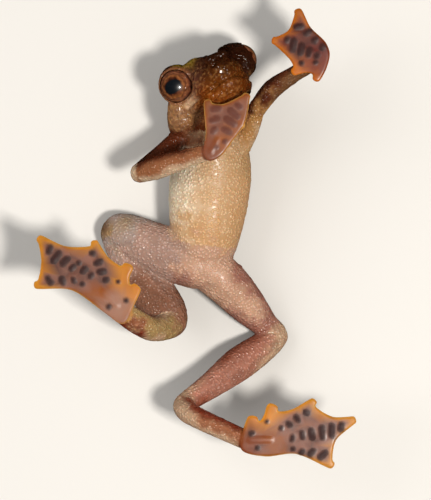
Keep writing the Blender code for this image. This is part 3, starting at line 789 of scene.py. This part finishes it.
# The same in the head's own frame, on both sides
HEAD_PATCHES = [
    ((1.6, 2.4, -0.4), 1.2, "loreal", 1.0),
    ((3.3, 0.9, -0.9), 1.2, "snout", 1.0),
    ((2.1, 1.6, 1.3), 0.5, "canthus", 1.6),
    ((1.0, 2.4, 1.6), 0.5, "canthus", 1.2),
    ((3.2, 1.3, -1.9), 1.0, "chin", 1.4),
    ((3.0, 0.0, -3.0), 1.2, "chin", 1.0),
    # The throat's amber is partly its own colour and partly painted light, brightened to stand in for light
    # glowing through the thin skin
    ((1.6, 1.6, -2.9), 1.2, "throat", 1.4),
    ((0.6, 0.0, -3.7), 1.7, "throat", 1.4),
    ((-1.2, -1.4, -4.3), 1.7, "throat", 1.2),
    ((0.6, 2.4, -2.6), 0.7, "rust", 0.9),
    ((-0.3, 3.2, -2.2), 0.8, "cheek", 1.6),
    ((-1.2, 3.9, -1.6), 1.2, "cheek", 1.6),
    ((-2.2, 4.2, -2.2), 1.4, "cheek", 1.8),
    ((-3.3, 4.0, -2.8), 1.3, "cheek", 1.6),
    ((-1.4, 2.7, -2.9), 1.0, "cheek", 1.4),
]
# The left half of the head lies in the shade, so some of its patches take darker tones there: painted shade
LEFT_SHADED_TONES = {"cheek": "cheek_shaded", "throat": "rust", "canthus": "head_dark", "loreal": "snout"}
# Where the head's skin ends at the throat, as height and place along the body
NECK_LINE = [(0, 13.7), (4.4, 11.95), (6.2, 11.15), (9.2, 10.0)]
# How far tones stray along and across a limb, and the strength of the legs' streaks and the head's flecks
STRAY_ALONG, STRAY_ACROSS = 0.7, 0.4
STREAKS = 0.34
FLECKS = 0.6
HEAD_DARK_WEIGHT = 0.12


def limb_share(points, stations):
    """For each point: its distance from this limb's skin, and its places along, across and below the limb."""
    best = np.full(len(points), 99.0)
    along = np.zeros(len(points))
    across = np.zeros(len(points))
    below = np.zeros(len(points))
    for number, (first, second) in enumerate(zip(stations, stations[1:])):
        a, b = np.array(first[0]), np.array(second[0])
        ra, rb = ((radii_of(r).x + radii_of(r).z) / 2 for r in (first[1], second[1]))
        t = np.clip(((points - a) @ (b - a)) / ((b - a) @ (b - a)), 0, 1)
        away = points - (a + t[:, None] * (b - a))
        thick = ra + (rb - ra) * t
        off = np.linalg.norm(away, axis=1) - thick
        flat = (b - a)[:2] / np.linalg.norm((b - a)[:2])
        near = off < best
        best[near] = off[near]
        along[near] = number + t[near]
        across[near] = ((away[:, 1] * flat[0] - away[:, 0] * flat[1]) / thick)[near]
        below[near] = (-away[:, 2] / thick)[near]
    return best, along, across, below


def along_tones(along, names):
    """The tones at these places along a limb."""
    table = np.array([tone(name) for name in names])
    low = np.clip(along.astype(int), 0, len(names) - 2)
    share = step_up(along - low, 0.0, 1.0)[:, None]
    return table[low] * (1 - share) + table[low + 1] * share


def from_line(x, y, first, second):
    """Distance from the line between two places in the plane of the soles."""
    a, b = np.array(first), np.array(second)
    t = np.clip(((x - a[0]) * (b - a)[0] + (y - a[1]) * (b - a)[1]) / ((b - a) @ (b - a)), 0, 1)
    return np.hypot(x - a[0] - t * (b - a)[0], y - a[1] - t * (b - a)[1])


def inside_outline(x, y, outline):
    """Distance inside a closed outline, negative outside it."""
    px = np.array([p.x for p in outline])
    py = np.array([p.y for p in outline])
    inside = np.zeros(len(x), bool)
    nearest = np.full(len(x), 99.0)
    for number in range(len(px)):
        ax, ay, bx, by = px[number - 1], py[number - 1], px[number], py[number]
        if ay != by:
            crosses = ((ay > y) != (by > y)) & (x < (bx - ax) * (y - ay) / (by - ay) + ax)
            inside ^= crosses
        ex, ey = bx - ax, by - ay
        t = np.clip(((x - ax) * ex + (y - ay) * ey) / (ex * ex + ey * ey + 1e-12), 0, 1)
        nearest = np.minimum(nearest, np.hypot(x - ax - t * ex, y - ay - t * ey))
    return np.where(inside, nearest, -nearest)


points, normals = points_and_normals(skin)
count = len(points)
up = normals[:, 2]
mix = np.zeros((count, 3))
weight = np.zeros(count)
below_mix = np.zeros(count)
chains = {"trunk": TRUNK, **LIMBS}
stray = noise_at(points, 0.9) + 0.5 * noise_at(points, 2.6)
for name, stations in chains.items():
    off, along, across, below = limb_share(points, stations)
    along = np.clip(along + stray * STRAY_ALONG, 0, len(stations) - 1.001)
    across = across + stray * STRAY_ACROSS
    left, middle, right = (along_tones(along, names) for names in zip(*LIMB_TONES[name]))
    to_left = step_up(across, 0.1, 0.9)[:, None]
    to_right = step_up(-across, 0.1, 0.9)[:, None]
    value = middle * (1 - to_left - to_right) + left * to_left + right * to_right
    if name.endswith("leg"):
        streak = [noise.noise(Vector((c * 3.2, a * 0.7, 5.0))) for a, c in zip(along, across)]
        value = value * (1 + STREAKS * np.array(streak)[:, None])
    near = np.exp(-((np.maximum(off, 0) / 0.3) ** 2)) + 1e-6
    mix += value * near[:, None]
    below_mix += below * near
    weight += near
colour = mix / weight[:, None]

head_place = head_coordinates(points)
behind = points[:, 1] - np.interp(points[:, 2], *zip(*NECK_LINE))
limb_off = np.minimum.reduce([limb_share(points, LIMBS[name])[0] for name in ("left_arm", "right_arm")])
on_head = step_up(behind, -0.5, 0.5) * step_up(limb_off, 0.15, 0.5) * step_up(-points[:, 0], -6.2, -5.7)
on_head *= step_up(points[:, 0], -4.5, -4.0)
cheek_off = limb_share(head_place, CHEEKS[-1])[0]
on_cheek = step_up(-cheek_off, -0.25, 0.0) * step_up(points[:, 1] + 0.3 * stray, 9.8, 10.3)
on_head = np.maximum(on_head, on_cheek * step_up(limb_off, 0.0, 0.3))
head_weight = np.full((count, 1), HEAD_DARK_WEIGHT)
head_colour = tone("head_dark") * head_weight
for place, reach, name, strength in HEAD_PATCHES:
    for side in (1, -1):
        middle = np.array((place[0], place[1] * side, place[2]))
        near = strength * np.exp(-(np.linalg.norm(head_place - middle, axis=1) / reach) ** 2)[:, None]
        # On the left side, darker tones paint its shade
        head_colour += tone(LEFT_SHADED_TONES.get(name, name) if side == 1 and place[1] > 1 else name) * near
        head_weight += near
head_colour /= head_weight
fleck = noise_at(points, 4.2)
head_colour *= (1 + FLECKS * fleck)[:, None]
gold = step_up(fleck, 0.14, 0.32) * step_up(np.linalg.norm(head_colour, axis=1), 0.03, 0.12)
head_colour = mixed(head_colour, tone("gold"), 0.22 * gold)
wrinkle = np.array([noise.noise(Vector((a * 1.3, b * 1.3, c * 5.0))) for a, b, c in head_place])
in_cheek = step_up(-cheek_off, -0.4, 0.0)
head_colour = mixed(head_colour, tone("gold"), 0.55 * in_cheek * step_up(abs(wrinkle), 0.12, 0.0))
other_side = head_place * (1, -1, 1)
lip_off, lip_along = limb_share(other_side, UPPER_LIP)[:2]
on_lip = np.exp(-((np.maximum(lip_off, 0) / 0.14) ** 2)) * step_up(-lip_along, -1.7, -0.9)
head_colour = mixed(head_colour, tone("lip"), 0.75 * on_lip)
for side in (1, -1):
    place = np.array(eye_place(side))
    axis = np.array(eye_axis(side))
    off = points - place
    out = off @ axis
    ring = np.linalg.norm(off - out[:, None] * axis, axis=1)
    near = np.exp(-(((ring - LID_RING[side] - 0.08) / 0.16) ** 2)) * step_up(out, -0.3, 0.1)
    # The left eye's lids take a darker tone: painted shade
    head_colour = mixed(head_colour, tone("lid" if side == -1 else "lid_shaded"), near * 0.8)
colour = mixed(colour, head_colour, on_head)

for place, reach, name, strength in PATCHES:
    near = strength * np.exp(-(np.linalg.norm(points - np.array(place), axis=1) / reach) ** 2)
    colour = mixed(colour, tone(name), near)

# The back: brown, with darker blotches, seen only from below and the sides
blotch = noise_at(points, 0.45)
back_tone = mixed(tone("back"), tone("back_dark"), step_up(blotch, -0.1, 0.2))
under = step_up(below_mix / weight + 0.2 * stray, 0.1, 0.55) * (1 - on_head)
under += step_up(-up, -0.05, 0.45) * 0.5 * on_head
colour = mixed(colour, back_tone, under)

# Webs, soles and pads, by where they lie in the plane of the palms: the tones of the flesh, the flesh between
# the pads, the pads, the web, its rim and the heel, and how orange the web is at the first digit
SOLE_TONES = {
    # The left hand lies in shade: its darker reds and its darker web and rim are painted shade
    "hand_left": ("palm_red", "palm_red_between", "palm_red_pad", "web_shaded", "rim_shaded", "palm_red"),
    "hand_right": ("palm", "palm_between", "palm_pad", "web_brown", "rim", "palm"),
    "foot_left": ("sole", "sole_between", "pad", "web", "rim", "sole"),
    "foot_right": ("sole", "sole_between", "pad", "web", "rim", "shank_mauve"),
}
WEB_ORANGE = {"hand_left": 0.6, "hand_right": 0.2, "foot_left": 0.4, "foot_right": 0.4}
web_mask = np.zeros(count)
pad_mask = np.zeros(count)
x, y, z = points.T
for name, hand in HANDS.items():
    inside = inside_outline(x, y, outlines[name])
    sole = step_up(inside, -0.25, -0.05) * step_up(z, SOLE - 0.85, SOLE - 0.6)
    sole_tone, between_tone, pad_tone, web_tone, rim_tone, heel_tone = SOLE_TONES[name]
    wrist = LIMBS[hand["limb"]][-1][0]
    from_wrist = np.hypot(x - wrist[0], y - wrist[1]) + stray * 0.4
    near_pads = np.zeros(count)
    on_pad = np.zeros(count)
    for pad in hand["pads"]:
        first, second, wide = pad_ends(pad)
        off = from_line(x, y, first, second) + stray * 0.12
        on_pad = np.maximum(on_pad, 1 - step_up(off, wide - 0.24, wide + 0.12))
        near_pads = np.maximum(near_pads, 1 - step_up(off, wide + 0.1, wide + 0.5))
    tips = np.array([tip for _, _, tip in hand["digits"]])
    from_tip = np.min(np.hypot(x[:, None] - tips[:, 0], y[:, None] - tips[:, 1]), axis=1)
    orange = 0.9 * (1 - step_up(inside + stray * 0.2, 0.15, 0.7)) * step_up(-from_tip, -3.2, -1.4)
    for number, (_, middle, tip) in enumerate(hand["digits"]):
        reach = np.hypot(x - tip[0], y - tip[1]) + stray * 0.3
        orange = np.maximum(orange, 1 - step_up(reach, 0.45, 1.0))
        if number < INNER_DIGITS:
            reach = from_line(x, y, middle, tip) + stray * 0.4
            orange = np.maximum(orange, 1 - step_up(reach, 0.6, 1.5))
    flesh = (1 - orange) * (0.86 + 0.14 * near_pads)
    from_inner_tip = np.hypot(x - tips[0][0], y - tips[0][1])
    oranger = WEB_ORANGE[name] * np.exp(-((from_inner_tip / 2.6) ** 2))
    base = mixed(tone(web_tone), tone("web_orange"), oranger)
    base = mixed(base, mixed(tone(sole_tone), tone(between_tone), near_pads), flesh)
    base *= 1 + 0.25 * stray[:, None]
    base = mixed(base, tone(heel_tone), 0.85 * (1 - step_up(from_wrist, 0.8, 2.2)))
    rim = np.exp(-((np.maximum(inside, 0) / 0.1) ** 2)) * step_up(from_wrist, 0.9, 1.7)
    base = mixed(base, tone(rim_tone), rim * 0.7)
    base = mixed(base, tone(pad_tone), on_pad)
    base = mixed(base, tone("hand_back"), 0.7 * step_up(-up, 0.1, 0.5))
    colour = mixed(colour, base, sole)
    web_mask = np.maximum(web_mask, sole)
    pad_mask = np.maximum(pad_mask, on_pad * sole)

granular = (1 - web_mask) * (1 - 0.25 * on_head)


def keep_attribute(obj, name, kind, values):
    made = obj.data.attributes.new(name, kind, "POINT")
    if kind == "FLOAT_COLOR":
        values = np.column_stack([values, np.ones(len(values))])
        made.data.foreach_set("color", values.astype(np.float32).reshape(-1))
    else:
        made.data.foreach_set("value", values.astype(np.float32))


keep_attribute(skin, "tone", "FLOAT_COLOR", np.clip(colour, 0, 1))
keep_attribute(skin, "granular", "FLOAT", granular)
belly = (1 - on_head) * (1 - web_mask) * np.exp(-((limb_share(points, TRUNK)[0] / 0.6) ** 2))
keep_attribute(skin, "dull", "FLOAT", np.maximum.reduce([0.95 * pad_mask, 0.5 * web_mask, 0.4 * belly]))


def set_sockets(node, values):
    for socket, value in values.items():
        node.inputs[socket].default_value = value


def add_node(nodes, kind, values=None, **settings):
    """A shader node of this kind, with its settings and the values of its own sockets."""
    node = nodes.new("ShaderNode" + kind)
    for name, value in settings.items():
        setattr(node, name, value)
    set_sockets(node, values or {})
    return node


def join(links, *pairs):
    """Links each pair of sockets, from the first to the second."""
    for source, target in pairs:
        links.new(source, target)


def granule_group():
    """Wet cobbled skin: packed round granules of uneven height, paler on top as painted light, with darker
    seams between as painted shade.
    """
    group = bpy.data.node_groups.new("granules", "ShaderNodeTree")
    for label, default in (("Spacing", 4000.0), ("Amount", 1.0)):
        socket = group.interface.new_socket(label, in_out="INPUT", socket_type="NodeSocketFloat")
        socket.default_value = default
    for label in ("Height", "Shade"):
        group.interface.new_socket(label, in_out="OUTPUT", socket_type="NodeSocketFloat")
    nodes = group.nodes
    given = nodes.new("NodeGroupInput")
    put = nodes.new("NodeGroupOutput")
    where = add_node(nodes, "TexCoord")
    cells = add_node(nodes, "TexVoronoi", {"Smoothness": 0.25}, feature="SMOOTH_F1")
    dome = add_node(nodes, "MapRange", {"From Min": 0.55, "From Max": 0.05})
    uneven = add_node(nodes, "TexNoise", {"Scale": 1100.0, "Detail": 3.0})
    vary = add_node(nodes, "MapRange", {"From Min": 0.3, "From Max": 0.7, "To Min": 0.6, "To Max": 1.0})
    raised = add_node(nodes, "Math", operation="MULTIPLY")
    height = add_node(nodes, "Math", operation="MULTIPLY")
    # Where there are no granules, the shade is half way, so that the tone stays as it is
    even = add_node(nodes, "Math", {1: -0.5, 2: 0.5}, operation="MULTIPLY_ADD")
    shown = add_node(nodes, "Math", operation="ADD")
    join(
        group.links,
        (where.outputs["Object"], cells.inputs["Vector"]),
        (given.outputs["Spacing"], cells.inputs["Scale"]),
        (cells.outputs["Distance"], dome.inputs["Value"]),
        (where.outputs["Object"], uneven.inputs["Vector"]),
        (uneven.outputs["Fac"], vary.inputs["Value"]),
        (dome.outputs["Result"], raised.inputs[0]),
        (vary.outputs["Result"], raised.inputs[1]),
        (raised.outputs["Value"], height.inputs[0]),
        (given.outputs["Amount"], height.inputs[1]),
        (height.outputs["Value"], put.inputs["Height"]),
        (given.outputs["Amount"], even.inputs[0]),
        (height.outputs["Value"], shown.inputs[0]),
        (even.outputs["Value"], shown.inputs[1]),
        (shown.outputs["Value"], put.inputs["Shade"]),
    )
    return group


skin_material = bpy.data.materials.new("toad_skin")
skin_material.use_nodes = True
nodes = skin_material.node_tree.nodes
shader = nodes["Principled BSDF"]
set_sockets(
    shader,
    {
        "Subsurface Weight": 0.25,
        "Subsurface Scale": 0.0005,
        "Subsurface Radius": (1.0, 0.35, 0.2),
        "Specular IOR Level": 0.36,
    },
)
tones = add_node(nodes, "Attribute", attribute_name="tone")
coarse = add_node(nodes, "Attribute", attribute_name="granular")
dull = add_node(nodes, "Attribute", attribute_name="dull")
where = add_node(nodes, "TexCoord")
cobbles = add_node(nodes, "Group", {"Spacing": 3500.0}, node_tree=granule_group())
# Painted shade in the seams between granules and painted light on their crowns, multiplied into the tone
seam_shade, crown_light = (0.72, 0.64, 0.58, 1), (1.26, 1.24, 1.22, 1)
painted_relief = add_node(nodes, "Mix", data_type="RGBA", clamp_factor=True)
set_sockets(painted_relief, {"A": seam_shade, "B": crown_light})
shade = add_node(nodes, "Mix", {"Factor": 1.0}, data_type="RGBA", blend_type="MULTIPLY", clamp_result=False)
# A film of water, smoother in some places than in others and thinner on pads, webs and belly
film = add_node(nodes, "TexNoise", {"Scale": 700.0, "Detail": 2.0})
wet = add_node(nodes, "MapRange", {"From Min": 0.35, "From Max": 0.65, "To Min": 0.08, "To Max": 0.3})
gloss = add_node(nodes, "Math", {1: 0.45}, operation="MULTIPLY_ADD")
bump = add_node(nodes, "Bump", {"Strength": 1.0, "Distance": 0.00013})
join(
    skin_material.node_tree.links,
    (coarse.outputs["Fac"], cobbles.inputs["Amount"]),
    (cobbles.outputs["Shade"], painted_relief.inputs["Factor"]),
    (tones.outputs["Color"], shade.inputs["A"]),
    (painted_relief.outputs["Result"], shade.inputs["B"]),
    (shade.outputs["Result"], shader.inputs["Base Color"]),
    (where.outputs["Object"], film.inputs["Vector"]),
    (film.outputs["Fac"], wet.inputs["Value"]),
    (dull.outputs["Fac"], gloss.inputs[0]),
    (wet.outputs["Result"], gloss.inputs[2]),
    (gloss.outputs["Value"], shader.inputs["Roughness"]),
    (cobbles.outputs["Height"], bump.inputs["Height"]),
    (bump.outputs["Normal"], shader.inputs["Normal"]),
)

skin.data.materials.clear()
skin.data.materials.append(skin_material)
skin.data.transform(TO_METRES)
skin.data.shade_smooth()
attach(skin, "root")
flesh_nodes = [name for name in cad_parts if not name.startswith("eye")]
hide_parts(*flesh_nodes)

# Eyes. A coppery iris with fine rings and flecks round a dark pupil that is a little wider than high, under
# one clear, wet coat. The ball is slightly domed in front.
PUPIL_WIDE = 0.85
PUPIL_HIGH = 0.62
DOME_FROM = 0.45
DOME_RISE = 0.045
IRIS_RADIUS = 1.12 * EYE_RADIUS
# Past any iris and any pupil, for the back of the ball
BACK_RING, BACK_PUPIL = 1.3, 3.0


def build_eye(side, name):
    """One eyeball. Two attributes keep how far each point is from its axis and from the edge of the pupil."""
    turn = eye_frame(side)
    bm = bmesh.new()
    bmesh.ops.create_uvsphere(bm, u_segments=64, v_segments=48, radius=EYE_RADIUS - SOCKET_GAP)
    for vert in bm.verts:
        swell = max(0.0, vert.co.z / EYE_RADIUS - DOME_FROM) / (1 - DOME_FROM)
        vert.co *= 1 + DOME_RISE * swell
    places = np.array([vert.co[:] for vert in bm.verts])
    eye = object_of(bm, name)
    x, y, z = places.T
    ring = np.hypot(x, y) / IRIS_RADIUS
    pupil = np.hypot(x / PUPIL_WIDE, y / PUPIL_HIGH)
    keep_attribute(eye, "ring", "FLOAT", np.where(z > 0, ring, BACK_RING))
    keep_attribute(eye, "pupil", "FLOAT", np.where(z > 0, pupil, BACK_PUPIL))
    eye.data.transform(TO_METRES @ Matrix.Translation(eye_place(side)) @ turn.to_4x4())
    eye.data.shade_smooth()
    return eye


def ramp(nodes, stops):
    """A colour ramp with these places and sRGB tones."""
    node = add_node(nodes, "ValToRGB")
    elements = node.color_ramp.elements
    while len(elements) < len(stops):
        elements.new(0.5)
    for element, (place, value) in zip(elements, stops):
        element.position = place
        value = np.array(value) / 255
        element.color = (*((value + 0.055) / 1.055) ** 2.4, 1)
    return node


eye_material = bpy.data.materials.new("toad_eye")
eye_material.use_nodes = True
nodes = eye_material.node_tree.nodes
shader = nodes["Principled BSDF"]
set_sockets(shader, {"Coat Weight": 1.0, "Coat Roughness": 0.03, "Roughness": 0.35})
ring = add_node(nodes, "Attribute", attribute_name="ring")
pupil = add_node(nodes, "Attribute", attribute_name="pupil")
where = add_node(nodes, "TexCoord")
flecks = add_node(nodes, "TexNoise", {"Scale": 2600.0, "Detail": 5.0})
wobble = add_node(nodes, "Math", {1: 0.3}, operation="MULTIPLY_ADD")
iris = ramp(
    nodes,
    [
        (0.56, (62, 28, 14)),
        (0.64, (112, 60, 30)),
        (0.72, (144, 88, 44)),
        (0.80, (110, 58, 34)),
        (0.87, (148, 90, 56)),
        (0.94, (116, 62, 42)),
        (1.0, (66, 32, 20)),
    ],
)
patchy = add_node(nodes, "TexNoise", {"Scale": 3600.0, "Detail": 3.0})
depth = add_node(nodes, "MapRange", {"From Min": 0.38, "From Max": 0.62, "To Min": 0.5, "To Max": 1.15})
mottled = add_node(nodes, "Mix", {"Factor": 1.0}, data_type="RGBA", blend_type="MULTIPLY")
hole = add_node(nodes, "MapRange", {"From Min": 0.92, "From Max": 1.06}, interpolation_type="SMOOTHSTEP")
blend = add_node(nodes, "Mix", {"A": (0.004, 0.006, 0.009, 1)}, data_type="RGBA")
join(
    eye_material.node_tree.links,
    (where.outputs["Object"], flecks.inputs["Vector"]),
    (flecks.outputs["Fac"], wobble.inputs[0]),
    (ring.outputs["Fac"], wobble.inputs[2]),
    (wobble.outputs["Value"], iris.inputs["Fac"]),
    (where.outputs["Object"], patchy.inputs["Vector"]),
    (patchy.outputs["Fac"], depth.inputs["Value"]),
    (iris.outputs["Color"], mottled.inputs["A"]),
    (depth.outputs["Result"], mottled.inputs["B"]),
    (pupil.outputs["Fac"], hole.inputs["Value"]),
    (hole.outputs["Result"], blend.inputs["Factor"]),
    (mottled.outputs["Result"], blend.inputs["B"]),
    (blend.outputs["Result"], shader.inputs["Base Color"]),
)
for side, name in ((1, "eye_left"), (-1, "eye_right")):
    eye = build_eye(side, name + "_ball")
    eye.data.materials.append(eye_material)
    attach(eye, "root")
    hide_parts(name)

# Floor, light and camera. A plain pale floor, a small warm key light, a wide fill and a dim studio round
# them. The camera looks straight down at the belly, as in the photo.
LIGHTS_AIM = (0, 0, 0.005)
floor_mesh = bmesh.new()
bmesh.ops.create_grid(floor_mesh, x_segments=1, y_segments=1, size=0.6)
floor = object_of(floor_mesh, "floor")
floor_material = bpy.data.materials.new("floor")
floor_material.use_nodes = True
floor_shader = floor_material.node_tree.nodes["Principled BSDF"]
set_sockets(floor_shader, {"Base Color": (0.74, 0.73, 0.71, 1), "Roughness": 0.8})
floor.data.materials.append(floor_material)
floor.visible_glossy = False


def add_light(name, place, size, power, colour):
    data = bpy.data.lights.new(name, "AREA")
    data.size = size
    data.energy = power
    data.color = colour
    lamp = bpy.data.objects.new(name, data)
    lamp.location = place
    lamp.rotation_euler = (Vector(LIGHTS_AIM) - Vector(place)).to_track_quat("-Z", "Y").to_euler()
    bpy.context.scene.collection.objects.link(lamp)
    return lamp


add_light("key", (0.085, -0.045, 0.26), 0.035, 0.64, (1.0, 0.95, 0.88))
fill = add_light("fill", (-0.25, 0.08, 0.22), 0.3, 0.6, (1.0, 0.98, 0.95))
fill.visible_glossy = False
world = bpy.data.worlds.new("studio")
world.use_nodes = True
set_sockets(world.node_tree.nodes["Background"], {"Color": (1.0, 0.97, 0.93, 1), "Strength": 0.28})
world.cycles_visibility.glossy = False
bpy.context.scene.world = world
bpy.context.scene.view_settings.view_transform = "Standard"

lens = bpy.data.cameras.new("camera")
lens.lens = 234.8
lens.clip_start = 0.01
camera = bpy.data.objects.new("camera", lens)
camera.location = (0.0019, -0.00108, 0.3109)
bpy.context.scene.collection.objects.link(camera)
bpy.context.scene.camera = camera
